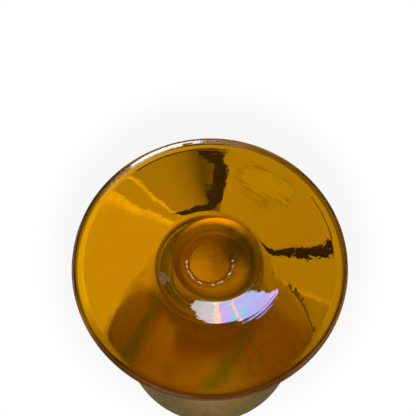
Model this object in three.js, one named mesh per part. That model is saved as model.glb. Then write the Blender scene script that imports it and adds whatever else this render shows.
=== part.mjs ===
// Footed art glass vase in amber glass: a blown body, the wafer that joins it to its foot,
// the wide foot with a round edge and a kicked-up centre, and the scar of the pontil rod.
// Millimetres, +Z up. The origin is on the axis, on the plane that the foot stands on.
import * as THREE from "three";

// Pontil scar: the broken ring of glass that the rod left in the middle of the foot
const PONTIL_DIAMETER = 17.4; // at the middle of the ring
const PONTIL_RING_WIDTH = 2.4;
const PONTIL_CREST_WIDTH = 0.8;
const PONTIL_RING_HEIGHT = 0.5;
const PONTIL_JAGGEDNESS = 0.15; // how much the broken crest rises and falls
const PONTIL_CHIPS = [5, 11, 17]; // waves round the broken crest

// Kick: the round hollow, pushed up into the foot, that keeps the scar clear of the table
const KICK_FLOOR_MARGIN = 3.1; // floor left bare around the scar
const KICK_WALL_RUN = 3; // from the edge of the floor out to the mouth
const KICK_DEPTH = 5.2;

// Foot: a cone of glass spread to a wide disc, with a round edge
const FOOT_DIAMETER = 100;
const FOOT_EDGE_THICKNESS = 5.6;
const FOOT_EDGE_ROUND = 2; // how far in from the rim the edge is round
const FOOT_CENTRE_THICKNESS = 4.4; // glass between the kick's floor and the wafer
const REST_BAND_WIDTH = 2; // flat ring, worn inside the round edge, that meets the table
const UNDERSIDE_RISE = 4.4; // from the table up to the kick's mouth
const UNDERSIDE_INNER_RUN = 8.75; // how far the underside keeps its slope outside the kick
const UNDERSIDE_INNER_DROP = 2;
const UNDERSIDE_OUTER_RUN = 12; // how far it keeps its slope inside the rest band
const UNDERSIDE_OUTER_LIFT = 0.7;
const SKIRT_EDGE_RUN = 3; // curve between the round edge and the cone
const SKIRT_EDGE_RISE = 0.4;
const STEM_RUN = 3; // curve between the cone and the seat
const STEM_DROP = 2;

// Seat: the round flat on which foot, wafer and body are fused
const SEAT_DIAMETER = 40;

// Wafer: the pressed bead of glass between foot and body
const WAFER_HEIGHT = 5;
const WAFER_BULGE = 1.2; // how far its round edge stands out past the seat

// Body: a bubble drawn out from a stem, with a drawn-in neck and a flared lip
const BELLY_DIAMETER = 94;
const BELLY_RISE = 105; // widest point above the body's seat
const NECK_DIAMETER = 38;
const NECK_RISE = 40; // narrowest point above the belly
const LIP_DIAMETER = 60;
const LIP_RISE = 22; // top of the lip above the neck
const WALL = 2.4;
const BASE_THICKNESS = 6; // glass below the bottom of the cavity
const CAVITY_CORNER_RUN = 4; // round corner between the cavity's floor and its wall
const CAVITY_CORNER_RISE = 5;

// Fullness of the drawn curves: the part of each run for which a curve keeps its direction
const KICK_FULLNESS = 0.35; // kick's wall, outwards from its floor
const KICK_LIP = 0.15; // kick's wall, inwards from its mouth
const STEM_DRAW = 0.38; // body, straight up from its seat
const BOWL_FULLNESS = 0.15; // bowl, down from the belly
const SHOULDER_FULLNESS = 0.52; // shoulder, up from the belly
const NECK_FULLNESS = 0.36; // neck, down to the shoulder and up to the lip
const LIP_FLARE = 0.7; // lip, inwards from its bead

// Glass
const FOOT_COLOUR = 0xb87400;
const WAFER_COLOUR = 0x8a4d00;
const BODY_COLOUR = 0xc98a12;
const SCAR_COLOUR = 0xd8b060;
const GLASS_ROUGHNESS = 0.06;
const GLASS_OPACITY = 0.75;

// Facets
const TURN_STEPS = 48; // round the axis
const CURVE_STEPS = 8; // along each drawn curve

const pontilInner = (PONTIL_DIAMETER - PONTIL_RING_WIDTH) / 2;
const pontilOuter = pontilInner + PONTIL_RING_WIDTH;
const kickFloorRadius = pontilOuter + KICK_FLOOR_MARGIN;
const kickRadius = kickFloorRadius + KICK_WALL_RUN;
const kickFloor = UNDERSIDE_RISE + KICK_DEPTH;
const footRadius = FOOT_DIAMETER / 2;
const footTop = kickFloor + FOOT_CENTRE_THICKNESS;
const seatRadius = SEAT_DIAMETER / 2;
const waferTop = footTop + WAFER_HEIGHT;
const bellyHeight = waferTop + BELLY_RISE;
const neckHeight = bellyHeight + NECK_RISE;
const lipTop = neckHeight + LIP_RISE;

function glass(colour) {
  return new THREE.MeshStandardMaterial({
    color: colour,
    roughness: GLASS_ROUGHNESS,
    metalness: 0,
    transparent: true,
    opacity: GLASS_OPACITY,
  });
}

// Turns an outline, drawn as radius and height, round the vertical axis.
function turned(name, outline, material) {
  const geometry = new THREE.LatheGeometry(outline.getPoints(CURVE_STEPS), TURN_STEPS);
  geometry.rotateX(Math.PI / 2);
  const mesh = new THREE.Mesh(geometry, material);
  mesh.name = name;
  return mesh;
}

function foot() {
  const edgeHalf = FOOT_EDGE_THICKNESS / 2;
  const bandOuter = footRadius - FOOT_EDGE_ROUND;
  const bandInner = bandOuter - REST_BAND_WIDTH;
  const skirtOuter = bandOuter - SKIRT_EDGE_RUN;
  const skirtBottom = FOOT_EDGE_THICKNESS + SKIRT_EDGE_RISE;
  const skirtInner = seatRadius + STEM_RUN;
  const skirtTop = footTop - STEM_DROP;
  const slope = (skirtTop - skirtBottom) / (skirtOuter - skirtInner);
  const kickLip = KICK_LIP * KICK_WALL_RUN;
  const mouthSlope = UNDERSIDE_INNER_DROP / UNDERSIDE_INNER_RUN;

  const outline = new THREE.Path();
  outline.moveTo(0, kickFloor);
  outline.lineTo(kickFloorRadius, kickFloor);
  outline.bezierCurveTo(
    kickFloorRadius + KICK_FULLNESS * KICK_WALL_RUN, kickFloor,
    kickRadius - kickLip, UNDERSIDE_RISE + mouthSlope * kickLip,
    kickRadius, UNDERSIDE_RISE,
  );
  outline.bezierCurveTo(
    kickRadius + UNDERSIDE_INNER_RUN, UNDERSIDE_RISE - UNDERSIDE_INNER_DROP,
    bandInner - UNDERSIDE_OUTER_RUN, UNDERSIDE_OUTER_LIFT,
    bandInner, 0,
  );
  outline.lineTo(bandOuter, 0);
  outline.absellipse(
    bandOuter, edgeHalf,
    FOOT_EDGE_ROUND, edgeHalf,
    -Math.PI / 2, Math.PI / 2, false,
  );
  outline.quadraticCurveTo(
    skirtOuter + SKIRT_EDGE_RISE / slope, FOOT_EDGE_THICKNESS,
    skirtOuter, skirtBottom,
  );
  outline.lineTo(skirtInner, skirtTop);
  outline.quadraticCurveTo(seatRadius, skirtTop + slope * STEM_RUN, seatRadius, footTop);
  outline.lineTo(0, footTop);
  return turned("foot", outline, glass(FOOT_COLOUR));
}

function wafer() {
  const edgeHalf = WAFER_HEIGHT / 2;

  const outline = new THREE.Path();
  outline.moveTo(0, footTop);
  outline.lineTo(seatRadius, footTop);
  outline.absellipse(
    seatRadius, footTop + edgeHalf,
    WAFER_BULGE, edgeHalf,
    -Math.PI / 2, Math.PI / 2, false,
  );
  outline.lineTo(0, waferTop);
  return turned("wafer", outline, glass(WAFER_COLOUR));
}

function body() {
  const belly = BELLY_DIAMETER / 2;
  const neck = NECK_DIAMETER / 2;
  const cavityBelly = belly - WALL;
  const cavityNeck = neck - WALL;
  const cavityStem = seatRadius - WALL;
  const cavityFloor = waferTop + BASE_THICKNESS;
  const cavityStart = cavityFloor + CAVITY_CORNER_RISE;
  const lipBead = WALL / 2;
  const lipCentre = LIP_DIAMETER / 2 - lipBead;
  const lipStart = lipCentre - LIP_FLARE * (lipCentre - neck);
  const shoulderStart = bellyHeight + SHOULDER_FULLNESS * NECK_RISE;
  const neckStart = neckHeight - NECK_FULLNESS * NECK_RISE;
  const neckEnd = neckHeight + NECK_FULLNESS * LIP_RISE;
  const stemEnd = waferTop + STEM_DRAW * BELLY_RISE;
  const bowlStart = bellyHeight - BOWL_FULLNESS * BELLY_RISE;

  const outline = new THREE.Path();
  outline.moveTo(0, waferTop);
  outline.lineTo(seatRadius, waferTop);
  outline.bezierCurveTo(seatRadius, stemEnd, belly, bowlStart, belly, bellyHeight);
  outline.bezierCurveTo(belly, shoulderStart, neck, neckStart, neck, neckHeight);
  outline.bezierCurveTo(neck, neckEnd, lipStart, lipTop - WALL, lipCentre, lipTop - WALL);
  outline.absarc(lipCentre, lipTop - lipBead, lipBead, -Math.PI / 2, Math.PI / 2, false);
  outline.bezierCurveTo(lipStart, lipTop, cavityNeck, neckEnd, cavityNeck, neckHeight);
  outline.bezierCurveTo(
    cavityNeck, neckStart,
    cavityBelly, shoulderStart,
    cavityBelly, bellyHeight,
  );
  outline.bezierCurveTo(cavityBelly, bowlStart, cavityStem, stemEnd, cavityStem, cavityStart);
  outline.quadraticCurveTo(
    cavityStem, cavityFloor,
    cavityStem - CAVITY_CORNER_RUN, cavityFloor,
  );
  outline.lineTo(0, cavityFloor);
  return turned("body", outline, glass(BODY_COLOUR));
}

// The broken ring: its flat side is fused to the kick's floor and its crest points down.
function pontilScar() {
  const crest = kickFloor - PONTIL_RING_HEIGHT;
  const crestInner = (PONTIL_DIAMETER - PONTIL_CREST_WIDTH) / 2;
  const crestOuter = crestInner + PONTIL_CREST_WIDTH;

  const outline = new THREE.Path();
  outline.moveTo(pontilInner, kickFloor);
  outline.lineTo(crestInner, crest);
  outline.lineTo(crestOuter, crest);
  outline.lineTo(pontilOuter, kickFloor);
  outline.lineTo(pontilInner, kickFloor);
  const scar = turned("pontil_scar", outline, glass(SCAR_COLOUR));

  const at = scar.geometry.getAttribute("position");
  for (let i = 0; i < at.count; i++) {
    if (at.getZ(i) > kickFloor - PONTIL_RING_HEIGHT / 2) continue;
    const turn = Math.atan2(at.getY(i), at.getX(i));
    const waves = PONTIL_CHIPS.map((count, phase) => Math.sin(count * turn + phase));
    const chip = waves.reduce((sum, wave) => sum + wave) / waves.length;
    at.setZ(i, at.getZ(i) + PONTIL_JAGGEDNESS * chip);
  }
  return scar;
}

const vase = new THREE.Group();
vase.name = "footed_vase";
vase.add(foot(), wafer(), body(), pontilScar());

export default vase;
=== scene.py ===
"""Looks of a footed vase in amber art glass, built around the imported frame. Metres, +Z up."""
import math

import bpy
from mathutils import Matrix, Vector


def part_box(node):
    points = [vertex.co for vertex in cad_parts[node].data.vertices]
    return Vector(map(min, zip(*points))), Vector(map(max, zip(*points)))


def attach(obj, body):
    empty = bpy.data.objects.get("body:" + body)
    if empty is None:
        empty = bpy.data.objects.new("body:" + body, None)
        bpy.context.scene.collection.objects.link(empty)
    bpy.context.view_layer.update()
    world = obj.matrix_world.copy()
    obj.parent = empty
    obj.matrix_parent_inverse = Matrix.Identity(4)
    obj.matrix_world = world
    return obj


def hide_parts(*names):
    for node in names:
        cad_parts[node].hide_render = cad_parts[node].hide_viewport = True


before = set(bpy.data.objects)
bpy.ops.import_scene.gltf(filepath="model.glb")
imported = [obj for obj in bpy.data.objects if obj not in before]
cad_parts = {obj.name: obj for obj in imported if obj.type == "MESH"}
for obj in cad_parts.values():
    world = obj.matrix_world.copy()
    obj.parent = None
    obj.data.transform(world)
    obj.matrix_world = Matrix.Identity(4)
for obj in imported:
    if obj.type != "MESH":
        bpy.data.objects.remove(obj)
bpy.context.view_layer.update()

MM = 0.001
_, foot_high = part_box("foot")
wafer_low, wafer_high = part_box("wafer")
body_low, body_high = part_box("body")
_, scar_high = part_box("pontil_scar")

# Foot
FOOT_RADIUS = foot_high.x
FOOT_TOP = foot_high.z
EDGE_THICKNESS = 5.6 * MM
EDGE_ROUND = 2.0 * MM
REST_BAND = 2.0 * MM
BAND_WEAR = 0.035 * MM  # how much more the band is worn on its outer side
SEAT_RADIUS = 20.0 * MM
KICK_MOUTH = 4.4 * MM
KICK_FLOOR = scar_high.z
KICK_FLOOR_RADIUS = 13.0 * MM
KICK_RADIUS = 16.0 * MM
KICK_FULLNESS = (0.35, 0.15)  # the part of the wall's run for which it keeps the slope of floor and mouth
KICK_SHIFT = (-2.4 * MM, 0.3 * MM)  # how far the kick, pushed in by hand, lies off the axis
KICK_EASE = 30.0 * MM  # the underside is back on the axis from here outwards
UNDERSIDE_INNER = (8.75 * MM, 2.0 * MM)  # run and drop of the underside's slope outside the kick
UNDERSIDE_OUTER = (12.0 * MM, 0.7 * MM)  # run and lift of its slope inside the rest band
SKIRT_EDGE = (3.0 * MM, 0.4 * MM)  # run and rise of the curve between the round edge and the cone
STEM = (3.0 * MM, 2.0 * MM)  # run and drop of the curve between the cone and the seat
TOOL_RINGS = ((3.7 * MM, 0.002 * MM), (9.1 * MM, 0.008 * MM))  # pitch and height
FINE_RINGS = (1.2 * MM, 0.0018 * MM, 21 * MM, 34 * MM)  # pitch, height, and the radii between which they show
# Seeds, the small bubbles in the glass round the kick: place and radius in millimetres
SEEDS = (
    (10.7, 8.8, 6.4, 0.22), (10.1, 9.3, 6.8, 0.15), (9.4, 10.1, 7.1, 0.25), (7.9, 11.4, 7.6, 0.2),
    (7.7, 12.0, 6.9, 0.3), (-8.2, 13.7, 8.8, 0.35),
)
SEED_DRAW = 1.6  # length over width
FOOT_SWELL = (0.25 * MM, 0.03)  # how far the disc strays from true, and over what length
SEED_FACETS = 3  # how often each seed's faces are divided
EDGE_START = -80  # degrees at which the round edge leaves the worn band; its top is at 90
# Steps along each stretch of the foot's outline, and round the axis
FOOT_STEPS = {
    "kick_floor": 8, "kick_wall": 24, "underside": 150, "rest_band": 4, "round_edge": 24, "skirt_edge": 14,
    "cone": 70, "stem": 10, "seat": 6, "turn": 192,
}

# Wafer, body and scar
FUSED = 0.15 * MM  # how far one gather runs into the next where they are fused
WAFER_RADIUS = wafer_high.x
BELLY_RADIUS = body_high.x
BELLY_HEIGHT = 124 * MM
NECK_RADIUS = 19 * MM
NECK_HEIGHT = 164 * MM
LIP_RADIUS = 30 * MM
LIP_TOP = body_high.z
WALL = 2.4 * MM
CAVITY_FLOOR = 25 * MM
CAVITY_CORNER = (4 * MM, 5 * MM)  # run and rise of the round corner at the cavity's floor
STEM_DRAW = 0.38
BOWL_FULLNESS = 0.15
SHOULDER_FULLNESS = 0.52
NECK_FULLNESS = 0.36
LIP_FLARE = 0.7
BODY_SWELL = (0.3 * MM, 0.05)
SCAR_WIDTH = 2.4 * MM
SCAR_CREST = 0.8 * MM
SCAR_HEIGHT = 0.3 * MM
SCAR_CHIPS = (0.4 * MM, 0.0016)  # how deep the chips are, and how long
# Splinters that stand on the crest: turn round the axis, length and width in millimetres
SPLINTERS = (
    (1, 1.2, 0.3), (-11, 2.0, 0.25), (-27, 1.6, 0.25), (-42, 2.3, 0.4), (-66, 1.8, 0.35), (-115, 3.2, 0.55),
    (-151, 2.4, 0.4), (-168, 1.6, 0.3),
)
SPLINTER_TILT = (math.radians(7.1), math.radians(-3.3))  # about X and Y, away from level
SPLINTER_THICKNESS = 0.3 * MM
SPLINTER_CORNERS = 7
SCAR_FACET = math.radians(12)  # edges bent by more than this stay sharp
# Steps along each stretch of their outlines, and round the axis
WAFER_STEPS = {"seat": 4, "bulge": 20, "turn": 128}
BODY_STEPS = {
    "seat": 4, "bowl": 48, "shoulder": 30, "neck": 20, "lip": 12, "cavity_bowl": 40, "cavity_corner": 10,
    "cavity_floor": 6, "turn": 160,
}
SCAR_STEPS = {"side": 6, "crest": 4, "turn": 160}
MERGE = 0.01 * MM  # points of a turned piece nearer than this become one

# Camera
TILT = math.radians(20.7)  # between the foot's axis and the line of sight
CAMERA_DISTANCE = 0.2
FOCAL_PIXELS = 554.2
FRAME_PIXELS = 416
PITCH = math.radians(4.71)  # the line of sight to the foot lies below the camera's axis
YAW = math.radians(-0.18)
SENSOR = 36.0
NEAR_CLIP = 0.01
SIGHT = Vector((0, math.sin(TILT), math.cos(TILT)))
SIGHT_UP = Vector((0, math.cos(TILT), -math.sin(TILT)))

# Glass. A grain is the noise of a cloudy pattern: its scale, detail and distortion, and the two levels
# between which it is spread out. A relief is such a noise's scale and detail
GLASS_IOR = 1.5
FILM_IOR = 1.75
SEAT_AMBER = (1.0, 0.92, 0.6, 1)
SEAT_AMBER_DEEP = (0.9, 0.85, 0.5, 1)
SEAT_RIM = (14.5 * MM, 17 * MM)  # radii between which a seat deepens
SEAT_FLATNESS = 0.9  # least upright part of the normal of a seat's faces
SEAT_REACH = 0.6 * MM  # how far from the seat's height they may lie

# Colours of the foot
FOOT_AMBER = (0.97, 0.44, 0.002, 1)
FOOT_AMBER_DEEP = (0.95, 0.41, 0.001, 1)
FOOT_CORDS = (90, 3, 1.5, 0.35, 0.65)
FOOT_DRAW = (1, 0.35, 1)  # stretch of the cords
EDGE_DEEP = (47.7 * MM, 48.4 * MM, 0.2)  # from and to radius, and what the deep edge lets through
KICK_AMBER = (0.97, 0.38, 0.001, 1)
# Colours of the kick's wall by turns round the axis, with painted light and shade: a bright crescent from 62
# to 112 degrees and dark shade round 180
KICK_WALL_LIGHT_SHADE = (
    (-180, (0.3, 0.12, 0.001, 1)), (-140, (0.6, 0.27, 0.001, 1)), (-90, (0.8, 0.34, 0.001, 1)),
    (-42, (0.66, 0.25, 0.001, 1)), (-20, (0.85, 0.22, 0.001, 1)), (30, (0.82, 0.2, 0.001, 1)),
    (62, (0.98, 0.28, 0.001, 1)), (112, (0.98, 0.28, 0.001, 1)), (140, (0.6, 0.24, 0.001, 1)),
    (180, (0.3, 0.12, 0.001, 1)),
)
WALL_START = KICK_FLOOR_RADIUS - 2.5 * MM  # the wall's colour, with its painted light and shade, fades in from here to the edge of the floor
KICK_END = KICK_RADIUS + 1.5 * MM  # the kick's colour fades out from its mouth to here
# Painted shade: a dark olive cloud laid into part of the kick
KICK_OLIVE_SHADE = (0.14, 0.07, 0.002, 1)
KICK_OLIVE_PLACE = (-10.5 * MM, 5 * MM, 9 * MM)
OLIVE_FADE = (3 * MM, 12 * MM)  # distances between which the painted olive shade fades
OLIVE_GRAIN = (160, 2, 0, 0.3, 0.7)
OLIVE_STRAY = 2 * MM
# A spot of dust on the underside
SMUDGE_PLACE = (16.8 * MM, -8 * MM, 3.5 * MM)
SMUDGE_RADIUS = 2.7 * MM
SMUDGE_FADE = (0.5 * SMUDGE_RADIUS, SMUDGE_RADIUS)
SMUDGE_GRAIN = (500, 3, 0, 0.3, 0.7)
SMUDGE_STRAY = 0.7 * MM
SMUDGE_DUST = (0.95, 0.9, 0.85, 1)
SMUDGE_COVER = 0.6  # how much of its colour is the dust
SMUDGE_CLEAR = 0.45  # how much light still passes
SMUDGE_SATIN = 0.4

# Film on the foot
FILM_FULL = 400  # nanometres
# Cracks in the foot's film: turn round the axis, and the film's share of the full one after the crack
# and before the next
FILM_CRACKS = (
    (-180, 0.8, 0.86), (-114.5, 0.87, 0.84), (-97, 0.08, 0.06), (-62, 0.8, 0.86),
    (35, 0.84, 0.8), (133, 0.8, 0.86),
)
CRACK_WIDTH = 2.0  # degrees to each side
CRACK_EDGE = 0.2
CRACK_SHARE = 0.71
CRACK_RAGGED = (600, 4, 3.6 * MM)  # scale, detail and reach of the noise that makes the cracks ragged
SPECKS = (2200, 3, 0, 0.4, 0.6)
SPECK_SHARES = (0.9, 1.07)  # how thick the film is in the specks of a crack
SPECK_FADE = 0.08  # the specks end where the film has this much more than a crack's share
DRIFT = (110, 2, 0.8, 0.35, 0.65)
DRIFT_SHARES = (0.975, 1.02)
FILM_END = (44.2 * MM, 45.7 * MM)  # radii between which the film ends
BAND_RADIUS = FOOT_RADIUS - EDGE_ROUND - REST_BAND / 2
BAND_FILM = 75
BAND_FILM_TOP = (0.3 * MM, 0.6 * MM)  # heights between which the band's film ends
BAND_SECTOR = (47, 53, 82, 90)  # turns between which the worn band keeps its film, with soft ends

# Roughness and relief of the foot
BAND_SATIN = 0.22  # roughness of the rest of the band
BAND_EDGE = (0.4 * REST_BAND, 0.6 * REST_BAND)  # distances from the band's middle between which the wear ends
WEAR_TOP = (0.2 * MM, 0.5 * MM)  # heights between which it ends
SCUFFS = (900, 4, 0, 0.45, 0.6)
SCUFF_SATIN = 0.05
KICK_SATIN = (0.1, 0.6)  # roughness of the floor and of the wall
STEM_SATIN = 0.4  # roughness of the curve up to the seat
STEM_SATIN_END = (0.2, 0.8)  # parts of the curve's run between which it ends
STEM_SATIN_NEAR = 0.8  # how much of the run further it goes on the near side
STEM_NEAR_FADE = 6 * MM  # the near side ends this far behind the axis
FOOT_RELIEF = (480, 2)
RING_RELIEF = {"Scale": 190, "Distortion": 2.5, "Detail": 2, "Detail Scale": 1.5}
RING_SHARE = 0.1
RELIEF_EASE = (26 * MM, 34 * MM, 0.45)  # radii between which the relief grows, and what it has before
RELIEF_END = (43.7 * MM, 46.7 * MM)  # radii between which it ends
FOOT_BUMP = 0.014 * MM

# Finish of the wafer
WAFER_AMBER = (0.78, 0.54, 0.1, 1)
WAFER_AMBER_DEEP = (0.7, 0.46, 0.06, 1)
WAFER_CORDS = (160, 3, 1.0, 0.35, 0.65)
WAFER_HAZE = (700, 3, 0, 0.4, 0.7)
WAFER_SATIN = (0.25, 0.4)  # roughness, least and most
WAFER_RELIEF = (300, 3)
WAFER_DRAW = (1, 1, 4)  # stretch of the relief
WAFER_BUMP = 0.03 * MM

# Finish of the body
BODY_AMBER = (0.79, 0.61, 0.13, 1)
BODY_AMBER_DEEP = (0.73, 0.55, 0.08, 1)
BODY_CORDS = (110, 3, 0.8, 0.35, 0.65)
BODY_DRAW = (1, 1, 0.16)  # stretch of the cords and the relief
BODY_BASE = (0.99, 0.74, 0.16, 1)  # floor of the cavity
BASE_FADE = 2 * MM  # how far above the floor its colour ends
# Painted shade: the olive colour of the dark streaks
BODY_OLIVE_SHADE = (0.36, 0.5, 0.08, 1)
BODY_STEM = (0.5, 0.29, 0.03, 1)  # darker amber on the outside of the lower body
STEM_FADE = (42 * MM, 62 * MM)  # heights between which it fades out
BODY_PALE_LIGHT = (0.98, 0.82, 0.2, 1)  # painted light: a paler amber for the pale streaks
# Streaks in the body, painted shade in the olive ones and painted light in the pale ones: turn on the seat,
# degrees of slant in a millimetre, half width in degrees, and the heights in millimetres between which it
# shows
OLIVE_SHADE_STREAKS = ((-12, -0.1, 10, 0, 130), (-164, 1.47, 12, -8, 60), (140, -0.3, 12, 10, 120))
PALE_LIGHT_STREAKS = ((90, 0, 60, 55, 140), (16, 0, 22, 2, 90), (-42, 0, 18, 15, 110))
STREAK_FADE = 8  # millimetres
STREAK_CORE = 0.25  # part of the half width that has the full colour
BODY_FILM = (360, 540)  # nanometres, least and most
BODY_FILM_CLOUDS = (32, 4, 1.2, 0.3, 0.7)
BODY_FILM_DRAW = (1, 1, 0.45)
BODY_SATIN = (0.14, 0.22)  # roughness, least and most
BODY_SATIN_CLOUDS = (260, 4, 0, 0.35, 0.65)
BODY_RELIEF = (260, 3)
BODY_FINE_RELIEF = (900, 2)
BODY_FINE_SHARE = 0.12
BODY_BUMP = 0.05 * MM

# Finish of the scar
SCAR_AMBER = (0.97, 0.92, 0.75, 1)
SCAR_AMBER_DEEP = (0.95, 0.85, 0.55, 1)
SCAR_CORDS = (900, 3, 0, 0.4, 0.6)
SCAR_FRESH = (1 * MM, 3.5 * MM)  # places along Y between which the crest turns from fresh to dull
SCAR_FILM = 60  # nanometres, where it is fresh
SCAR_DULL = 0.45  # roughness where it is dull
SCAR_SATIN = (0.04, 0.34)  # roughness where it is fresh, least and most
SCAR_GROUND = (1800, 3, 0, 0.4, 0.65)
SCAR_RELIEF = (1500, 4)
SCAR_BUMP = 0.012 * MM

# Card beyond the vase
CARD_DISTANCE = 0.45
CARD_RADIUS = 0.9
CARD_RAGGED = (260, 3, 3 * MM)  # scale, detail and reach of the noise that makes its sectors ragged
SHEET_CORNERS = 96  # corners of the round card and the round floor
# Light and dark round the line of sight: zones of the card from its middle outwards, each with
# the radius where it starts and its levels by turns from the right, counter-clockwise
CARD_ZONES = (
    (0.0, (
        (-180, 0.68), (-120, 0.74), (-60, 0.6), (-40, 0.15), (30, 0.05), (60, 0.15), (80, 0.62), (180, 0.68),
    )),
    (0.032, (
        (-180, 0.65), (-146, 0.65), (-144, 0.4), (-112, 0.32), (-40, 0.32),
        (-26, 0.36), (-25, 0.62), (-24, 0.62), (-23, 0.46), (3, 0.46), (70, 0.5), (76, 0.48), (80, 0.2),
        (96, 0.12), (104, 0.26), (122, 0.42), (139, 0.42), (139.5, 1.0), (141, 1.0), (141.5, 0.52),
        (151, 0.54), (152, 0.98), (156, 0.92), (160, 0.66), (180, 0.65),
    )),
    (0.112, (
        (-180, 0.86), (-158, 0.86), (-148, 0.4), (-115, 0.3), (-45, 0.3), (-30, 0.5), (60, 0.5), (130, 0.66),
        (150, 0.86), (180, 0.86),
    )),
    (0.168, (
        (-180, 0.1), (-12, 0.1), (-6, 0.4), (6, 0.4), (12, 0.14),
        (60, 0.14), (92, 0.6), (96, 1.0), (132, 1.0), (136, 0.14), (180, 0.1),
    )),
)
ZONE_BLEND = 0.004
# Flags in front of the card: corners to the right of and above its middle in millimetres, level, raggedness
FLAGS = {
    "dark_line": ((
        (47, 20), (57, 9), (65, -2), (73, -4), (81, -4), (89, 0), (97, 8), (99, -1), (97, -7), (91, -12),
        (84, -11), (76, -10), (67, -9), (60, -1), (55, 5), (47, 15),
    ), 0.02, 1.5),
    "dark_top": ((
        (-9, 79), (5, 80), (17, 76), (14, 71), (18, 64), (16, 58), (13, 54), (13, 51), (4, 44), (-11, 32),
        (-22, 25), (-35, 26), (-16, 35), (-8, 42), (-4, 48), (-6, 51), (0, 54), (4, 58), (4, 62), (6, 65),
        (-2, 69), (-7, 72),
    ), 0.03, 1.3),
    "dark_feather": ((
        (54, -12), (58, -15), (64, -22), (68, -29), (71, -36), (74, -44), (76, -52), (79, -62), (76, -62),
        (73, -52), (69, -42), (66, -34), (61, -25), (55, -17),
    ), 0.12, 0.9),
    "pane_edge": (((22, 65), (44, 64), (68, 55), (72, 44), (65, 32), (51, 38), (33, 51)), 0.36, 0.6),
    "pale_pane": (((24, 64), (44, 62), (66, 53), (70, 44), (65, 34), (52, 40), (34, 53)), 0.53, 0.6),
}
FLAG_CUTS = 8
FLAG_SEED = 5
FLAG_LIFT = 2  # millimetres from the card to the first flag; each next one is a millimetre nearer
# Arcs on the card: turns from and to, inner and outer radius in millimetres, level
CARD_ARCS = (
    ("arc_top", 84, 134, 87, 106, 0.06), ("arc_right", 4, 27, 99, 111, 0.06),
    ("arc_high", 58, 118, 210, 430, 1.9),
)
ARC_LIFT = 8
ARC_STEPS = 16

# Panel below the table, with its corners along X and Y
PANEL_CORNERS = (
    (-0.2, 1.06), (0.02, 1.02), (0.09, 1.01), (0.16, 0.93), (0.31, 0.775), (0.4, 1.0), (0.36, 1.42),
    (0, 1.42), (-0.21, 1.09),
)
PANEL_LEVEL = -1.5
PANEL_STRENGTH = 7.4

# Walls of the studio
AMBIENT = 0.55  # level of the studio's white walls where they light the floor
DUSK = (0.45, 0.95)  # mirrored walls are dark below the first height and white above the second
# Tall white windows low in the walls, which only mirrored light shows: turns and half widths
WINDOWS = ((-150, 16), (-70, 10), (20, 14), (115, 12))
WINDOW_EDGE = 3  # degrees over which a window fades at each side
WINDOW_TOP = (0.36, 0.42)  # heights between which they fade
# Painted shadow, a dim halo round the foot on the white backdrop: from and to, as cosines of the angle off
# the line of sight, and its level
HALO_SHADOW = (math.cos(math.radians(18)), math.cos(math.radians(13.5)), 0.92)
WHITE = (1, 1, 1, 1)

# Floor and lamps
FLOOR_LEVEL = -0.4 * MM
FLOOR_RADIUS = 3.0
FLOOR_WHITE = (0.86, 0.86, 0.85, 1)
FLOOR_GREY = (0.82, 0.82, 0.81, 1)
FLOOR_CLOUDS = 3
FLOOR_MATT = 0.9
FLOOR_FADE = (0.8, 2.8)  # the table melts into the white backdrop between these radii
FOOT_SHADE = FOOT_RADIUS + 2 * MM  # mirrored light passes the floor within this radius
DUST_SHADE = 2.5 * SMUDGE_RADIUS  # lamps shine up through the floor this near to the dust
# Soft boxes: place, width, height and power; the weak one below lights only the dust
SOFT_BOXES = (
    ((-0.9, -0.9, 0.9), 0.5, 0.9, 9.0),
    ((1.1, -0.5, 0.7), 0.35, 1.0, 5.0),
    ((0.3, 1.2, 0.9), 0.5, 0.9, 4.0),
    ((0.2, -0.4, -1.0), 0.4, 0.4, 1.0),
)
GLASS_BOUNCES = 32
MIRROR_BOUNCES = 16


def deselect_all():
    bpy.ops.object.select_all(action="DESELECT")


def edit_all():
    """Starts to edit the active mesh, with all of it selected."""
    bpy.ops.object.mode_set(mode="EDIT")
    bpy.ops.mesh.select_all(action="SELECT")


def flat_circle(name, corners, radius=1, fill="NGON", place=(0, 0, 0)):
    """A level ring of corners, to start a mesh from."""
    deselect_all()
    bpy.ops.mesh.primitive_circle_add(vertices=corners, radius=radius, fill_type=fill, location=place)
    piece = bpy.context.object
    piece.name = name
    return piece


def curve(start, pull_start, pull_end, end, count):
    """Points of a drawn curve after its start, as radius and height."""
    controls = (start, pull_start, pull_end, end)
    points = []
    for i in range(1, count + 1):
        t = i / count
        s = 1 - t
        weights = (s * s * s, 3 * s * s * t, 3 * s * t * t, t * t * t)
        points.append(tuple(sum(w * c[k] for w, c in zip(weights, controls)) for k in (0, 1)))
    return points


def arc(centre, radius_out, radius_up, start, end, count):
    """Points of a round stretch after its start."""
    points = []
    for i in range(1, count + 1):
        turn = math.radians(start + (end - start) * i / count)
        points.append((centre[0] + radius_out * math.cos(turn), centre[1] + radius_up * math.sin(turn)))
    return points


def line(start, end, count):
    """Points of a straight stretch after its start."""
    return [
        (start[0] + (end[0] - start[0]) * i / count, start[1] + (end[1] - start[1]) * i / count)
        for i in range(1, count + 1)
    ]


def tool_ring(point):
    """A point of the disc, raised or lowered by the rings that the turning tool left."""
    radius, height = point
    return radius, height + sum(h * math.sin(2 * math.pi * radius / pitch) for pitch, h in TOOL_RINGS)


def fine_ring(point):
    """A point of the underside, raised or lowered by the fine rings outside the kick."""
    radius, height = point
    pitch, rise, near, far = FINE_RINGS
    share = max(0, 1 - abs(2 * radius - near - far) / (far - near))
    return radius, height + share * rise * math.sin(2 * math.pi * radius / pitch)


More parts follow.
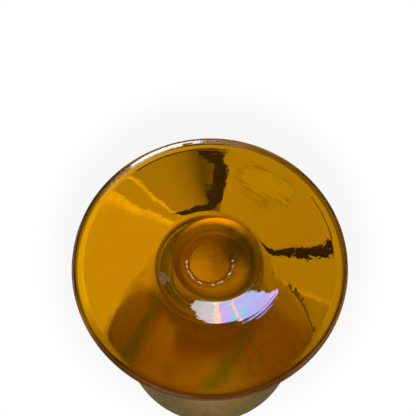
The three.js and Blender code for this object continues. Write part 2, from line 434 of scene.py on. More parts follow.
def spun(name, outline, steps):
    """A piece of glass turned round the axis from its outline, given as radius and height."""
    first = outline[0]
    piece = flat_circle(name, 3, MM, "NOTHING")
    piece.data.name = name
    edit_all()
    bpy.ops.mesh.merge(type="CENTER")
    bpy.ops.transform.translate(value=(first[0], 0, first[1]))
    for here, there in zip(outline, outline[1:]):
        step = (there[0] - here[0], 0, there[1] - here[1])
        bpy.ops.mesh.extrude_region_move(TRANSFORM_OT_translate={"value": step})
    bpy.ops.mesh.select_all(action="SELECT")
    bpy.ops.mesh.spin(steps=steps, angle=2 * math.pi, center=(0, 0, 0), axis=(0, 0, 1))
    bpy.ops.mesh.select_all(action="SELECT")
    bpy.ops.mesh.remove_doubles(threshold=MERGE)
    bpy.ops.mesh.normals_make_consistent(inside=False)
    bpy.ops.object.mode_set(mode="OBJECT")
    bpy.ops.object.shade_smooth()
    return piece


def push(piece, strength, group, **settings):
    """Moves the points of a piece, or of a group in it, by a modifier that is then applied."""
    modifier = piece.modifiers.new("push", "DISPLACE")
    modifier.strength = strength
    modifier.vertex_group = group
    for name, value in settings.items():
        setattr(modifier, name, value)
    deselect_all()
    bpy.context.view_layer.objects.active = piece
    piece.select_set(True)
    bpy.ops.object.modifier_apply(modifier=modifier.name)


def stray(piece, strength, size, kind="CLOUDS", group=""):
    """Makes a turned piece stray from true, as hot or broken glass does."""
    texture = bpy.data.textures.new(piece.name + "_stray", kind)
    texture.noise_scale = size
    push(piece, strength, group, texture=texture, texture_coords="LOCAL", mid_level=0.5)


def join_to(piece, others):
    """Joins other meshes to a piece."""
    deselect_all()
    for other in others:
        other.select_set(True)
    piece.select_set(True)
    bpy.context.view_layer.objects.active = piece
    bpy.ops.object.join()


def add_seeds(piece):
    """Small bubbles inside a piece of glass, drawn out a little. Their surfaces face the air in them."""
    bubbles = []
    for x, y, z, radius in SEEDS:
        deselect_all()
        bpy.ops.mesh.primitive_ico_sphere_add(
            subdivisions=SEED_FACETS, radius=radius * MM, location=(x * MM, y * MM, z * MM)
        )
        bubble = bpy.context.object
        bubble.scale = (SEED_DRAW, 1, 1)
        bubble.rotation_euler = (0, 0, math.atan2(y, x) + math.pi / 2)
        bpy.ops.object.transform_apply(location=True, rotation=True, scale=True)
        edit_all()
        bpy.ops.mesh.flip_normals()
        bpy.ops.object.mode_set(mode="OBJECT")
        bpy.ops.object.shade_smooth()
        bubbles.append(bubble)
    join_to(piece, bubbles)


def foot():
    """The spread disc, with its round edge, hollow underside and kick."""
    edge_half = EDGE_THICKNESS / 2
    band_outer = FOOT_RADIUS - EDGE_ROUND
    band_inner = band_outer - REST_BAND
    skirt_out = (band_outer - SKIRT_EDGE[0], EDGE_THICKNESS + SKIRT_EDGE[1])
    skirt_in = (SEAT_RADIUS + STEM[0], FOOT_TOP - STEM[1])
    slope = (skirt_in[1] - skirt_out[1]) / (skirt_out[0] - skirt_in[0])
    edge_turn = (skirt_out[0] + SKIRT_EDGE[1] / slope, EDGE_THICKNESS)
    stem_turn = (SEAT_RADIUS, skirt_in[1] + slope * STEM[0])

    kick_turn, kick_lip = (fullness * (KICK_RADIUS - KICK_FLOOR_RADIUS) for fullness in KICK_FULLNESS)
    mouth_slope = UNDERSIDE_INNER[1] / UNDERSIDE_INNER[0]

    steps = FOOT_STEPS
    outline = [(0, KICK_FLOOR)]
    outline += line(outline[-1], (KICK_FLOOR_RADIUS, KICK_FLOOR), steps["kick_floor"])
    outline += curve(
        outline[-1],
        (KICK_FLOOR_RADIUS + kick_turn, KICK_FLOOR),
        (KICK_RADIUS - kick_lip, KICK_MOUTH + kick_lip * mouth_slope),
        (KICK_RADIUS, KICK_MOUTH),
        steps["kick_wall"],
    )
    underside = curve(
        outline[-1],
        (KICK_RADIUS + UNDERSIDE_INNER[0], KICK_MOUTH - UNDERSIDE_INNER[1]),
        (band_inner - UNDERSIDE_OUTER[0], UNDERSIDE_OUTER[1]),
        (band_inner, 0),
        steps["underside"],
    )
    outline += [fine_ring(tool_ring(point)) for point in underside]
    outline += line(outline[-1], (band_outer, BAND_WEAR), steps["rest_band"])
    outline += arc((band_outer, edge_half), EDGE_ROUND, edge_half, EDGE_START, 90, steps["round_edge"])
    outline += curve(outline[-1], edge_turn, edge_turn, skirt_out, steps["skirt_edge"])
    outline += [tool_ring(point) for point in line(outline[-1], skirt_in, steps["cone"])]
    outline += curve(outline[-1], stem_turn, stem_turn, (SEAT_RADIUS, FOOT_TOP), steps["stem"])
    outline += line(outline[-1], (0, FOOT_TOP), steps["seat"])
    piece = spun("foot_glass", outline, steps["turn"])
    push_kick(piece)
    stray(piece, *FOOT_SWELL)
    add_seeds(piece)
    return piece


def push_kick(piece):
    """Moves the kick off the axis, and the underside round it less and less outwards."""
    pushed = piece.vertex_groups.new(name="pushed")
    for point in piece.data.vertices:
        out = (math.hypot(point.co.x, point.co.y) - KICK_RADIUS) / (KICK_EASE - KICK_RADIUS)
        if point.co.z < KICK_FLOOR + FUSED and out < 1:
            pushed.add([point.index], 1 - max(0, out), "REPLACE")
    for axis, way in zip("XY", KICK_SHIFT):
        push(piece, way, pushed.name, direction=axis, mid_level=0)


def wafer():
    """The pressed bead between foot and body."""
    bottom = wafer_low.z - FUSED
    top = wafer_high.z + FUSED
    half = (top - bottom) / 2
    steps = WAFER_STEPS
    outline = [(0, bottom)]
    outline += line(outline[-1], (SEAT_RADIUS, bottom), steps["seat"])
    outline += arc(
        (SEAT_RADIUS, bottom + half), WAFER_RADIUS - SEAT_RADIUS, half, -90, 90, steps["bulge"]
    )
    outline += line(outline[-1], (0, top), steps["seat"])
    return spun("wafer_glass", outline, steps["turn"])


def body():
    """The blown bubble, with its cavity, neck and lip."""
    bottom = body_low.z
    bead = WALL / 2
    lip_centre = LIP_RADIUS - bead
    lip_start = lip_centre - LIP_FLARE * (lip_centre - NECK_RADIUS)
    cavity_belly = BELLY_RADIUS - WALL
    cavity_neck = NECK_RADIUS - WALL
    cavity_stem = SEAT_RADIUS - WALL
    neck_rise = NECK_HEIGHT - BELLY_HEIGHT
    belly_rise = BELLY_HEIGHT - bottom
    stem_end = bottom + STEM_DRAW * belly_rise
    bowl_start = BELLY_HEIGHT - BOWL_FULLNESS * belly_rise
    shoulder_start = BELLY_HEIGHT + SHOULDER_FULLNESS * neck_rise
    neck_start = NECK_HEIGHT - NECK_FULLNESS * neck_rise
    neck_end = NECK_HEIGHT + NECK_FULLNESS * (LIP_TOP - NECK_HEIGHT)
    corner_top = (cavity_stem, CAVITY_FLOOR + CAVITY_CORNER[1])
    corner = (cavity_stem, CAVITY_FLOOR)
    corner_in = (cavity_stem - CAVITY_CORNER[0], CAVITY_FLOOR)
    steps = BODY_STEPS
    outside = (
        ((SEAT_RADIUS, stem_end), (BELLY_RADIUS, bowl_start), (BELLY_RADIUS, BELLY_HEIGHT), "bowl"),
        ((BELLY_RADIUS, shoulder_start), (NECK_RADIUS, neck_start), (NECK_RADIUS, NECK_HEIGHT), "shoulder"),
        ((NECK_RADIUS, neck_end), (lip_start, LIP_TOP - WALL), (lip_centre, LIP_TOP - WALL), "neck"),
    )
    inside = (
        ((lip_start, LIP_TOP), (cavity_neck, neck_end), (cavity_neck, NECK_HEIGHT), "neck"),
        ((cavity_neck, neck_start), (cavity_belly, shoulder_start), (cavity_belly, BELLY_HEIGHT), "shoulder"),
        ((cavity_belly, bowl_start), (cavity_stem, stem_end), corner_top, "cavity_bowl"),
        (corner, corner, corner_in, "cavity_corner"),
    )
    outline = [(0, bottom)]
    outline += line(outline[-1], (SEAT_RADIUS, bottom), steps["seat"])
    for pull_start, pull_end, end, stretch in outside:
        outline += curve(outline[-1], pull_start, pull_end, end, steps[stretch])
    outline += arc((lip_centre, LIP_TOP - bead), bead, bead, -90, 90, steps["lip"])
    for pull_start, pull_end, end, stretch in inside:
        outline += curve(outline[-1], pull_start, pull_end, end, steps[stretch])
    outline += line(outline[-1], (0, CAVITY_FLOOR), steps["cavity_floor"])
    piece = spun("body_glass", outline, steps["turn"])
    stray(piece, *BODY_SWELL)
    return piece


def splinter(turn, length, width, ring, level):
    """A flat splinter of broken glass on the ring's crest."""
    piece = flat_circle("splinter", SPLINTER_CORNERS)
    piece.scale = (width / 2 * MM, length / 2 * MM, 1)
    piece.location = (ring * math.cos(turn), ring * math.sin(turn), level)
    piece.rotation_mode = "ZXY"
    piece.rotation_euler = (*SPLINTER_TILT, turn)
    bpy.ops.object.transform_apply(location=True, rotation=True, scale=True)
    edit_all()
    bpy.ops.mesh.extrude_region_move(TRANSFORM_OT_translate={"value": (0, 0, SPLINTER_THICKNESS)})
    bpy.ops.mesh.select_all(action="SELECT")
    bpy.ops.mesh.normals_make_consistent(inside=False)
    bpy.ops.object.mode_set(mode="OBJECT")
    return piece


def pontil_scar():
    """The broken ring left by the rod, with a chipped crest."""
    outer = scar_high.x
    inner = outer - SCAR_WIDTH
    middle = (outer + inner) / 2
    root = KICK_FLOOR + FUSED
    crest = KICK_FLOOR - SCAR_HEIGHT
    steps = SCAR_STEPS
    outline = [(inner, root)]
    outline += line(outline[-1], (middle - SCAR_CREST / 2, crest), steps["side"])
    outline += line(outline[-1], (middle + SCAR_CREST / 2, crest), steps["crest"])
    outline += line(outline[-1], (outer, root), steps["side"])
    outline += line(outline[-1], outline[0], steps["side"])
    piece = spun("scar_glass", outline, steps["turn"])
    chipped = piece.vertex_groups.new(name="chipped")
    for point in piece.data.vertices:
        chipped.add([point.index], min(1, max(0, (KICK_FLOOR - point.co.z) / SCAR_HEIGHT)), "REPLACE")
    stray(piece, *SCAR_CHIPS, "VORONOI", chipped.name)
    shards = [
        splinter(math.radians(turn), length, width, middle, crest - SPLINTER_THICKNESS / 2)
        for turn, length, width in SPLINTERS
    ]
    join_to(piece, shards)
    bpy.ops.object.shade_smooth_by_angle(angle=SCAR_FACET)
    return piece


def node(tree, kind, sockets=None, **settings):
    """Adds a shader node; each socket is given a value, or the output that feeds it."""
    made = tree.nodes.new(kind)
    for name, value in settings.items():
        setattr(made, name, value)
    for name, value in (sockets or {}).items():
        if isinstance(value, bpy.types.NodeSocket):
            tree.links.new(value, made.inputs[name])
        else:
            made.inputs[name].default_value = value
    return made


def worked(tree, operation, first, second=0.0):
    """One or two values worked into one."""
    return node(tree, "ShaderNodeMath", {0: first, 1: second}, operation=operation).outputs["Value"]


def product(tree, first, *others):
    """Values multiplied together."""
    for other in others:
        first = worked(tree, "MULTIPLY", first, other)
    return first


def total(tree, first, *others):
    """Values added up."""
    for other in others:
        first = worked(tree, "ADD", first, other)
    return first


def without(tree, share):
    """What a share leaves of the whole."""
    return worked(tree, "SUBTRACT", 1.0, share)


def vector_work(tree, operation, *vectors):
    """Outputs of a node that works with vectors."""
    return node(tree, "ShaderNodeVectorMath", dict(enumerate(vectors)), operation=operation).outputs


def scaled(tree, vector, share):
    """A vector or colour times a share."""
    sockets = {0: vector, "Scale": share}
    return node(tree, "ShaderNodeVectorMath", sockets, operation="SCALE").outputs["Vector"]


def distance(tree, place, point):
    """How far a place is from a point."""
    return vector_work(tree, "DISTANCE", place, point)["Value"]


def spread(tree, value, start, end, low, high):
    """A value between start and end, spread smoothly from low to high."""
    sockets = {"Value": value, "From Min": start, "From Max": end, "To Min": low, "To Max": high}
    return node(tree, "ShaderNodeMapRange", sockets, interpolation_type="SMOOTHSTEP").outputs["Result"]


def blended(tree, share, first, second):
    """Two colours blended by a share."""
    sockets = {"Factor": share, "A": first, "B": second}
    return node(tree, "ShaderNodeMix", sockets, data_type="RGBA").outputs["Result"]


def clouds(tree, place, scale, detail=2.0, distortion=0.0):
    """A soft noise at a place."""
    sockets = {"Vector": place, "Scale": scale, "Detail": detail, "Distortion": distortion}
    return node(tree, "ShaderNodeTexNoise", sockets).outputs["Fac"]


def grained(tree, place, grain, low=0, high=1):
    """A cloudy pattern, spread from low to high."""
    *noise, start, end = grain
    return spread(tree, clouds(tree, place, *noise), start, end, low, high)


def spot(tree, place, middle, fade, grain, reach):
    """How much of a round spot with ragged edges is at a place."""
    off = total(tree, distance(tree, place, middle), grained(tree, place, grain, -reach, reach))
    return spread(tree, off, *fade, 1, 0)


def ragged_place(tree, place, scale, detail, reach):
    """Places moved about by a noise, so that what is drawn on them has ragged edges."""
    sockets = {"Vector": place, "Scale": scale, "Detail": detail}
    noise = node(tree, "ShaderNodeTexNoise", sockets).outputs["Color"]
    off = vector_work(tree, "SUBTRACT", noise, (0.5, 0.5, 0.5))["Vector"]
    return vector_work(tree, "ADD", place, scaled(tree, off, reach))["Vector"]


def object_place(tree, stretch=(1, 1, 1)):
    """Places on the piece, stretched along its axes."""
    place = node(tree, "ShaderNodeTexCoord").outputs["Object"]
    return node(tree, "ShaderNodeMapping", {"Vector": place, "Scale": stretch}).outputs["Vector"]


def from_axis(tree, place):
    """How far a place is from the axis of its piece."""
    flat = vector_work(tree, "MULTIPLY", place, (1, 1, 0))["Vector"]
    return vector_work(tree, "LENGTH", flat)["Value"]


def along_axes(tree, place):
    """A place along X, Y and Z."""
    return node(tree, "ShaderNodeSeparateXYZ", {0: place}).outputs


def turn_round(tree, place):
    """The turn of a place round the axis, from 0 to 1, with 0.5 on the X axis."""
    return node(tree, "ShaderNodeTexGradient", {"Vector": place}, gradient_type="RADIAL").outputs["Fac"]


def turn_share(degrees):
    """The same turn, from degrees round the axis."""
    return degrees / 360 + 0.5


def turn_ramp(tree, turn, stops):
    """Colours laid round the axis, from pairs of degrees and colour."""
    ramp = node(tree, "ShaderNodeValToRGB", {"Fac": turn})
    elements = ramp.color_ramp.elements
    elements.remove(elements[-1])
    for i, (degrees, colour) in enumerate(stops):
        share = turn_share(degrees)
        element = elements[0] if i == 0 else elements.new(share)
        element.position = share
        element.color = colour
    return ramp.outputs["Color"]


def greys(stops):
    """Pairs of degrees and grey colour, from pairs of degrees and level."""
    return [(degrees, (level, level, level, 1)) for degrees, level in stops]


def film_stops():
    """Degrees and shares of the foot's film, which is thin and orange at each crack."""
    stops = []
    for (turns, first, last), (after, _, _) in zip(FILM_CRACKS, FILM_CRACKS[1:] + ((180, 0, 0),)):
        start = turns + CRACK_WIDTH
        end = after - CRACK_WIDTH
        shares = (CRACK_SHARE, first, last, CRACK_SHARE)
        places = (start - CRACK_EDGE, start, end, end + CRACK_EDGE)
        stops += zip(places, shares)
    return stops


def streak(tree, turn, height, at, slant, half, low, high):
    """How much of a slanting streak is at a turn and height."""
    rise = worked(tree, "SUBTRACT", height, body_low.z)
    lean = worked(tree, "MULTIPLY", rise, slant / 360 / MM)
    middle = worked(tree, "ADD", lean, turn_share(at))
    off = worked(tree, "ABSOLUTE", worked(tree, "SUBTRACT", turn, middle))
    return product(
        tree,
        spread(tree, off, STREAK_CORE * half / 360, half / 360, 1, 0),
        spread(tree, rise, low * MM, (low + STREAK_FADE) * MM, 0, 1),
        spread(tree, rise, (high - STREAK_FADE) * MM, high * MM, 1, 0),
    )


def new_material(name):
    """A material, its nodes and the shader among them."""
    material = bpy.data.materials.new(name)
    material.use_nodes = True
    tree = material.node_tree
    return material, tree, tree.nodes["Principled BSDF"]


def clear_glass(name):
    """A glass that lets all light through."""
    material, tree, shader = new_material(name)
    shader.inputs["IOR"].default_value = GLASS_IOR
    shader.inputs["Transmission Weight"].default_value = 1.0
    return material, tree, shader


def surface(tree, shader, tint, roughness, bump, bump_height):
    """Joins a glass shader to what its nodes give."""
    tree.links.new(tint, shader.inputs["Base Color"])
    tree.links.new(roughness, shader.inputs["Roughness"])
    relief = node(tree, "ShaderNodeBump", {"Height": bump, "Distance": bump_height, "Strength": 1.0})
    tree.links.new(relief.outputs["Normal"], shader.inputs["Normal"])


def lay_film(tree, shader, thickness):
    """Lays an iridescent film on a glass shader."""
    tree.links.new(thickness, shader.inputs["Thin Film Thickness"])
    shader.inputs["Thin Film IOR"].default_value = FILM_IOR


def foot_tint(tree, place, in_kick, kick):
    """Amber with faint cords, the kick's amber with painted light and shade on its wall, a painted olive
    shade in it and a deep edge.
    """
    cords = grained(tree, object_place(tree, FOOT_DRAW), FOOT_CORDS)
    tint = blended(tree, cords, FOOT_AMBER, FOOT_AMBER_DEEP)
    tint = blended(tree, in_kick, tint, kick)
    # Painted olive shade in the kick
    olive = spot(tree, place, KICK_OLIVE_PLACE, OLIVE_FADE, OLIVE_GRAIN, OLIVE_STRAY)
    tint = blended(tree, product(tree, olive, in_kick), tint, KICK_OLIVE_SHADE)
    start, end, deep = EDGE_DEEP
    return scaled(tree, tint, spread(tree, from_axis(tree, place), start, end, 1, deep))


def bright_sector(tree, place):
    """The turns at which the worn band is bright."""
    turn = turn_round(tree, place)
    start, full, last, end = map(turn_share, BAND_SECTOR)
    return product(tree, spread(tree, turn, start, full, 0, 1), spread(tree, turn, last, end, 1, 0))


def foot_film(tree, place, in_kick, dust, bright):
    """Thickness of the crazed film outside the kick, and of what is left of it on the rest band."""
    radius = from_axis(tree, place)
    ragged = ragged_place(tree, place, *CRACK_RAGGED)
    share = turn_ramp(tree, turn_round(tree, ragged), greys(film_stops()))
    specks = grained(tree, place, SPECKS, *SPECK_SHARES)
    film = product(
        tree,
        share,
        spread(tree, share, CRACK_SHARE, CRACK_SHARE + SPECK_FADE, specks, 1),
        FILM_FULL,
        grained(tree, place, DRIFT, *DRIFT_SHARES),
        without(tree, in_kick),
        spread(tree, radius, *FILM_END, 1, 0),
        without(tree, dust),
    )
    on_band = product(
        tree,
        spread(tree, radius, BAND_RADIUS - REST_BAND / 4, BAND_RADIUS, 0, BAND_FILM),
        spread(tree, along_axes(tree, place)["Z"], *BAND_FILM_TOP, 1, 0),
        bright,
    )
    return total(tree, film, on_band)


def foot_satin(tree, place, in_kick, on_wall, dust, bright):
    """Roughness of the worn band, the chilled kick, the dust and the curve up to the seat."""
    radius = from_axis(tree, place)
    _, across, height = along_axes(tree, place)
    off_band = worked(tree, "ABSOLUTE", worked(tree, "SUBTRACT", radius, BAND_RADIUS))
    scuffs = grained(tree, place, SCUFFS, 0, SCUFF_SATIN)
    worn = product(
        tree,
        spread(tree, off_band, *BAND_EDGE, 1, 0),
        spread(tree, height, *WEAR_TOP, 1, 0),
        spread(tree, bright, 0, 1, BAND_SATIN, scuffs),
    )
    chilled = product(tree, spread(tree, on_wall, 0, 1, *KICK_SATIN), in_kick)
    run, drop = STEM
    start, end = (part * run for part in STEM_SATIN_END)
    further = spread(tree, across, 0, STEM_NEAR_FADE, STEM_SATIN_NEAR * run, 0)
    from_seat = worked(tree, "SUBTRACT", worked(tree, "SUBTRACT", radius, SEAT_RADIUS), further)
    drawn = product(
        tree,
        spread(tree, from_seat, start, end, STEM_SATIN, 0),
        worked(tree, "GREATER_THAN", height, FOOT_TOP - 2 * drop),
    )
    return total(tree, worn, chilled, product(tree, dust, SMUDGE_SATIN), drawn)


def foot_relief(tree, place):
    """Faint rings and ripples, calmer round the kick and at the edge."""
    radius = from_axis(tree, place)
    sockets = {"Vector": place, **RING_RELIEF}
    rings = node(tree, "ShaderNodeTexWave", sockets, wave_type="RINGS", rings_direction="Z").outputs["Fac"]
    relief = total(tree, product(tree, rings, RING_SHARE), clouds(tree, place, *FOOT_RELIEF))
    start, end, least = RELIEF_EASE
    calm = product(
        tree,
        spread(tree, radius, *RELIEF_END, 1, 0),
        spread(tree, radius, start, end, least, 1),
    )
    return product(tree, relief, calm)


def foot_amber():
    """Clear deep amber under a thin, crazed iridescent film, worn dull on the rest band."""
    material, tree, shader = clear_glass("foot_amber")
    place = object_place(tree)
    kick_place = vector_work(tree, "SUBTRACT", place, (*KICK_SHIFT, 0))["Vector"]
    kick_radius = from_axis(tree, kick_place)
    in_kick = spread(tree, kick_radius, KICK_RADIUS, KICK_END, 1, 0)
    on_wall = spread(tree, kick_radius, WALL_START, KICK_FLOOR_RADIUS, 0, 1)
    # Painted light and shade on the kick's wall: bright at the top, dark at one side
    wall = turn_ramp(tree, turn_round(tree, kick_place), KICK_WALL_LIGHT_SHADE)
    tint = foot_tint(tree, place, in_kick, blended(tree, on_wall, KICK_AMBER, wall))
    dust = spot(tree, place, SMUDGE_PLACE, SMUDGE_FADE, SMUDGE_GRAIN, SMUDGE_STRAY)
    tint = blended(tree, product(tree, dust, SMUDGE_COVER), tint, SMUDGE_DUST)
    tree.links.new(spread(tree, dust, 0, 1, 1, SMUDGE_CLEAR), shader.inputs["Transmission Weight"])
    bright = bright_sector(tree, place)
    lay_film(tree, shader, foot_film(tree, place, in_kick, dust, bright))
    satin = foot_satin(tree, place, in_kick, on_wall, dust, bright)
    surface(tree, shader, tint, satin, foot_relief(tree, place), FOOT_BUMP)
    return material


def wafer_amber():
    """Hazy amber with faint cords."""
    material, tree, shader = clear_glass("wafer_amber")
    place = object_place(tree)
    tint = blended(tree, grained(tree, place, WAFER_CORDS), WAFER_AMBER, WAFER_AMBER_DEEP)
    haze = grained(tree, place, WAFER_HAZE, *WAFER_SATIN)
    relief = clouds(tree, object_place(tree, WAFER_DRAW), *WAFER_RELIEF)
    surface(tree, shader, tint, haze, relief, WAFER_BUMP)
    return material


def body_amber():
    """Amber under a satin iridescent film, with the faint streaks of drawn glass and broad streaks of painted
    light and shade.
    """
    material, tree, shader = clear_glass("body_amber")
    place = object_place(tree)
    drawn = object_place(tree, BODY_DRAW)
    tint = blended(tree, grained(tree, drawn, BODY_CORDS), BODY_AMBER, BODY_AMBER_DEEP)
    turn = turn_round(tree, place)
    height = along_axes(tree, place)["Z"]
    radius = from_axis(tree, place)
    stem = product(
        tree,
        spread(tree, height, *STEM_FADE, 1, 0),
        worked(tree, "GREATER_THAN", radius, SEAT_RADIUS - WALL / 2),
    )
    tint = blended(tree, stem, tint, BODY_STEM)
    # Painted shade in the olive streaks and painted light in the pale ones
    for colour, streaks in ((BODY_OLIVE_SHADE, OLIVE_SHADE_STREAKS), (BODY_PALE_LIGHT, PALE_LIGHT_STREAKS)):
        for shape in streaks:
            tint = blended(tree, streak(tree, turn, height, *shape), tint, colour)
    base = product(
        tree,
        spread(tree, height, CAVITY_FLOOR, CAVITY_FLOOR + BASE_FADE, 1, 0),
        spread(tree, radius, SEAT_RADIUS - 2 * WALL, SEAT_RADIUS - WALL, 1, 0),
    )
    tint = blended(tree, base, tint, BODY_BASE)
    film_place = object_place(tree, BODY_FILM_DRAW)
    lay_film(tree, shader, grained(tree, film_place, BODY_FILM_CLOUDS, *BODY_FILM))
    satin = grained(tree, place, BODY_SATIN_CLOUDS, *BODY_SATIN)
    fine = product(tree, clouds(tree, place, *BODY_FINE_RELIEF), BODY_FINE_SHARE)
    relief = total(tree, clouds(tree, drawn, *BODY_RELIEF), fine)
    surface(tree, shader, tint, satin, relief, BODY_BUMP)
    return material


def scar_amber():
    """Pale broken glass, fresh and glinting on one side and dull on the other."""
    material, tree, shader = clear_glass("scar_amber")
    place = object_place(tree)
    tint = blended(tree, grained(tree, place, SCAR_CORDS), SCAR_AMBER, SCAR_AMBER_DEEP)
    fresh = spread(tree, along_axes(tree, place)["Y"], *SCAR_FRESH, 1, 0)
    ground = grained(tree, place, SCAR_GROUND, *SCAR_SATIN)
    lay_film(tree, shader, product(tree, fresh, SCAR_FILM))
    satin = spread(tree, fresh, 0, 1, SCAR_DULL, ground)
    surface(tree, shader, tint, satin, clouds(tree, place, *SCAR_RELIEF), SCAR_BUMP)
    return material


def bare_material(name):
    """A material whose surface has yet to be made."""
    material, tree, shader = new_material(name)
    tree.nodes.remove(shader)
    return material, tree


def lay_surface(tree, kind, colour):
    """Makes one plain shader the whole surface."""
    shader = node(tree, kind, {"Color": colour})
    tree.links.new(shader.outputs[0], tree.nodes["Material Output"].inputs["Surface"])


def fused_seat():
    """Inside a fused seat the glass runs on with no surface between. It is deeper amber towards the rim."""
    material, tree = bare_material("fused_seat")
    out = spread(tree, from_axis(tree, object_place(tree)), *SEAT_RIM, 0, 1)
    lay_surface(tree, "ShaderNodeBsdfTransparent", blended(tree, out, SEAT_AMBER, SEAT_AMBER_DEEP))
    return material


def finish_glass(piece, name, materials, seats=()):
    """Gives a piece its glass, with the faces of its seats fused to the next piece."""
    piece.data.materials.clear()
    for material in materials:
        piece.data.materials.append(material)
    for face in piece.data.polygons:
        flat = abs(face.normal.z) > SEAT_FLATNESS
        near = any(abs(face.center.z - height) < SEAT_REACH for height in seats)
        inside = math.hypot(face.center.x, face.center.y) < SEAT_RADIUS
        face.material_index = 1 if flat and near and inside else 0
    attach(piece, "root")
    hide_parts(name)


def stage_light(piece):
    """Marks a card that only the glass shows."""
    piece.visible_camera = False
    piece.visible_diffuse = False
    piece.visible_shadow = False


def facing(axis, up):
    """The turn of what looks along an axis."""
    return Matrix((axis.cross(up), up, -axis)).transposed().to_euler()


def surround_card():
    """A round card beyond the vase, which the glass shows as light and dark sectors."""
    card = flat_circle("surround_card", SHEET_CORNERS, CARD_RADIUS, place=SIGHT * CARD_DISTANCE)
    card.rotation_euler = facing(SIGHT, SIGHT_UP)
    material, tree = bare_material("surround_card")
    place = object_place(tree)
    turn = turn_round(tree, ragged_place(tree, place, *CARD_RAGGED))
    away = from_axis(tree, place)
    light = None
    for start, levels in CARD_ZONES:
        zone = turn_ramp(tree, turn, greys(levels))
        if light:
            zone = blended(tree, spread(tree, away, start, start + ZONE_BLEND, 0, 1), light, zone)
        light = zone
    lay_surface(tree, "ShaderNodeEmission", light)
    card.data.materials.append(material)
    stage_light(card)


def grey_glow(name, level):
    """A plain grey that shines by itself."""
    material, tree = bare_material(name)
    lay_surface(tree, "ShaderNodeEmission", (level, level, level, 1))
    return material


def flat_outline(name, corners, fill):
    """A flat outline through its corners."""
    piece = flat_circle(name, len(corners), fill=fill)
    for point, corner in zip(piece.data.vertices, corners):
        point.co = corner
    return piece


def flag(name, corners, level, raggedness, lift):
    """A flat flag of one grey in front of the card, with ragged edges. Sizes are in millimetres."""
    piece = flat_outline(name, [(x * MM, y * MM, 0) for x, y in corners], "NOTHING")
    edit_all()
    bpy.ops.mesh.subdivide(number_cuts=FLAG_CUTS)
    if raggedness:
        bpy.ops.transform.vertex_random(offset=raggedness * MM, seed=FLAG_SEED)
    bpy.ops.mesh.edge_face_add()
    bpy.ops.object.mode_set(mode="OBJECT")
    piece.location = SIGHT * (CARD_DISTANCE - lift * MM)
    piece.rotation_euler = facing(SIGHT, SIGHT_UP)
    piece.data.materials.append(grey_glow(name, level))
    stage_light(piece)


def arc_corners(start, end, inner, outer):
    """Corners of a flat arc, along its inner side and back along its outer one."""
    turns = [math.radians(start + (end - start) * i / ARC_STEPS) for i in range(ARC_STEPS + 1)]
    near = [(inner * math.cos(turn), inner * math.sin(turn)) for turn in turns]
    far = [(outer * math.cos(turn), outer * math.sin(turn)) for turn in reversed(turns)]
    return near + far


def flags():
    """The flags and arcs, each a little nearer than the one before."""
    for i, (name, (corners, level, raggedness)) in enumerate(FLAGS.items()):
        flag(name, corners, level, raggedness, FLAG_LIFT + i)
    for i, (name, start, end, inner, outer, level) in enumerate(CARD_ARCS):
        flag(name, arc_corners(start, end, inner, outer), level, 0, ARC_LIFT + i)


def window_panel():
    """A bright soft panel below the table, which the iridescent underside mirrors."""
    panel = flat_outline("window_panel", [(x, y, PANEL_LEVEL) for x, y in PANEL_CORNERS], "NGON")
    panel.data.materials.append(grey_glow("window_panel", PANEL_STRENGTH))
    stage_light(panel)


def window_stops():
    """Degrees and levels of the windows, with soft sides."""
    stops = [(-180, 0)]
    for turns, half in WINDOWS:
        wide = half + WINDOW_EDGE
        stops += [(turns - wide, 0), (turns - half, 1), (turns + half, 1), (turns + wide, 0)]
    return stops


def mirrored(tree, path):
    """1 for light that a surface mirrors, and 0 for light that glass lets through."""
    return worked(tree, "SUBTRACT", path["Is Glossy Ray"], path["Is Transmission Ray"])


def levels_mixed(tree, share, first, second):
    """Two levels mixed by a share."""
    return node(tree, "ShaderNodeMix", {"Factor": share, "A": first, "B": second}).outputs["Result"]


def studio_world():
    """White where the camera looks, with a painted shadow a little dimmer round the foot. Below the table it
    sheds no light.
    """
    world = bpy.data.worlds.new("studio")
    bpy.context.scene.world = world
    world.use_nodes = True
    tree = world.node_tree
    path = node(tree, "ShaderNodeLightPath").outputs
    direction = node(tree, "ShaderNodeTexCoord").outputs["Generated"]
    height = along_axes(tree, direction)["Z"]
    above_table = worked(tree, "GREATER_THAN", height, 0.0)
    ambient = spread(tree, path["Is Diffuse Ray"], 0, 1, 1.0, AMBIENT)
    windows = product(
        tree,
        turn_ramp(tree, turn_round(tree, direction), greys(window_stops())),
        spread(tree, height, *WINDOW_TOP, 1, 0),
        above_table,
    )
    walls = worked(tree, "MAXIMUM", spread(tree, height, *DUSK, 0, 1), windows)
    level = levels_mixed(tree, mirrored(tree, path), product(tree, above_table, ambient), walls)
    ahead = vector_work(tree, "DOT_PRODUCT", direction, SIGHT)["Value"]
    # Painted shadow: the backdrop seen by the camera dims round the foot
    start, end, dimmed = HALO_SHADOW
    seen = spread(tree, ahead, start, end, 1.0, dimmed)
    level = levels_mixed(tree, path["Is Camera Ray"], level, seen)
    tree.links.new(level, tree.nodes["Background"].inputs["Strength"])
    tree.nodes["Background"].inputs["Color"].default_value = WHITE


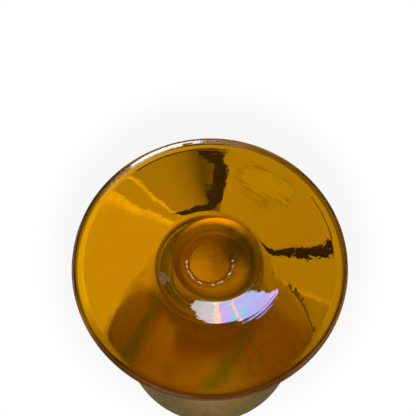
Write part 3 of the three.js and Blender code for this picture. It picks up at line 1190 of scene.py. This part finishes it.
def pale_floor():
    """A pale matt table top. From below it is open, so that the underside can be seen and lit."""
    table = flat_circle("pale_floor", SHEET_CORNERS, FLOOR_RADIUS, place=(0, 0, FLOOR_LEVEL))
    material, tree, shader = new_material("pale_floor")
    shader.inputs["Roughness"].default_value = FLOOR_MATT
    shader.inputs["Specular IOR Level"].default_value = 0.0
    place = object_place(tree)
    tint = blended(tree, clouds(tree, place, FLOOR_CLOUDS), FLOOR_WHITE, FLOOR_GREY)
    tree.links.new(tint, shader.inputs["Base Color"])
    path = node(tree, "ShaderNodeLightPath").outputs
    radius = from_axis(tree, place)
    under_foot = worked(tree, "LESS_THAN", radius, FOOT_SHADE)
    under_dust = worked(tree, "LESS_THAN", distance(tree, place, SMUDGE_PLACE), DUST_SHADE)
    openings = (
        product(tree, mirrored(tree, path), under_foot),
        product(tree, path["Is Shadow Ray"], under_dust),
        spread(tree, radius, *FLOOR_FADE, 0, 1),
    )
    open_here = node(tree, "ShaderNodeNewGeometry").outputs["Backfacing"]
    for opening in openings:
        open_here = worked(tree, "MAXIMUM", open_here, opening)
    clear = node(tree, "ShaderNodeBsdfTransparent").outputs["BSDF"]
    mix = node(tree, "ShaderNodeMixShader", {0: open_here, 1: shader.outputs["BSDF"], 2: clear})
    tree.links.new(mix.outputs["Shader"], tree.nodes["Material Output"].inputs["Surface"])
    table.data.materials.append(material)


def soft_boxes():
    """Lamps that the glass and the camera do not show."""
    aim = Vector((0, 0, LIP_TOP / 2))
    for place, width, height, power in SOFT_BOXES:
        deselect_all()
        bpy.ops.object.light_add(type="AREA", location=place)
        lamp = bpy.context.object
        lamp.name = "soft_box"
        lamp.rotation_euler = (aim - Vector(place)).to_track_quat("-Z", "Y").to_euler()
        lamp.data.shape = "RECTANGLE"
        lamp.data.size = width
        lamp.data.size_y = height
        lamp.data.energy = power
        lamp.visible_camera = False
        lamp.visible_transmission = False
        lamp.visible_glossy = False


def camera():
    """The eye below the table that looks up at the foot."""
    right = SIGHT.cross(SIGHT_UP)
    axis = SIGHT * math.cos(PITCH) + SIGHT_UP * math.sin(PITCH)
    axis = axis * math.cos(YAW) + right * math.sin(YAW)
    up = (SIGHT_UP - axis * SIGHT_UP.dot(axis)).normalized()
    deselect_all()
    bpy.ops.object.camera_add(location=SIGHT * -CAMERA_DISTANCE)
    eye = bpy.context.object
    eye.name = "camera"
    eye.rotation_euler = facing(axis, up)
    eye.data.sensor_width = SENSOR
    eye.data.lens = FOCAL_PIXELS * SENSOR / FRAME_PIXELS
    eye.data.clip_start = NEAR_CLIP
    bpy.context.scene.camera = eye


camera()
studio_world()
pale_floor()
soft_boxes()
surround_card()
flags()
window_panel()
seat = fused_seat()
finish_glass(foot(), "foot", (foot_amber(), seat), (FOOT_TOP,))
finish_glass(wafer(), "wafer", (wafer_amber(), seat), (wafer_low.z, wafer_high.z))
finish_glass(body(), "body", (body_amber(), seat), (body_low.z,))
finish_glass(pontil_scar(), "pontil_scar", (scar_amber(),))

bpy.context.scene.cycles.max_bounces = GLASS_BOUNCES
bpy.context.scene.cycles.transmission_bounces = GLASS_BOUNCES
bpy.context.scene.cycles.glossy_bounces = MIRROR_BOUNCES

bpy.context.scene.view_settings.view_transform = "Standard"
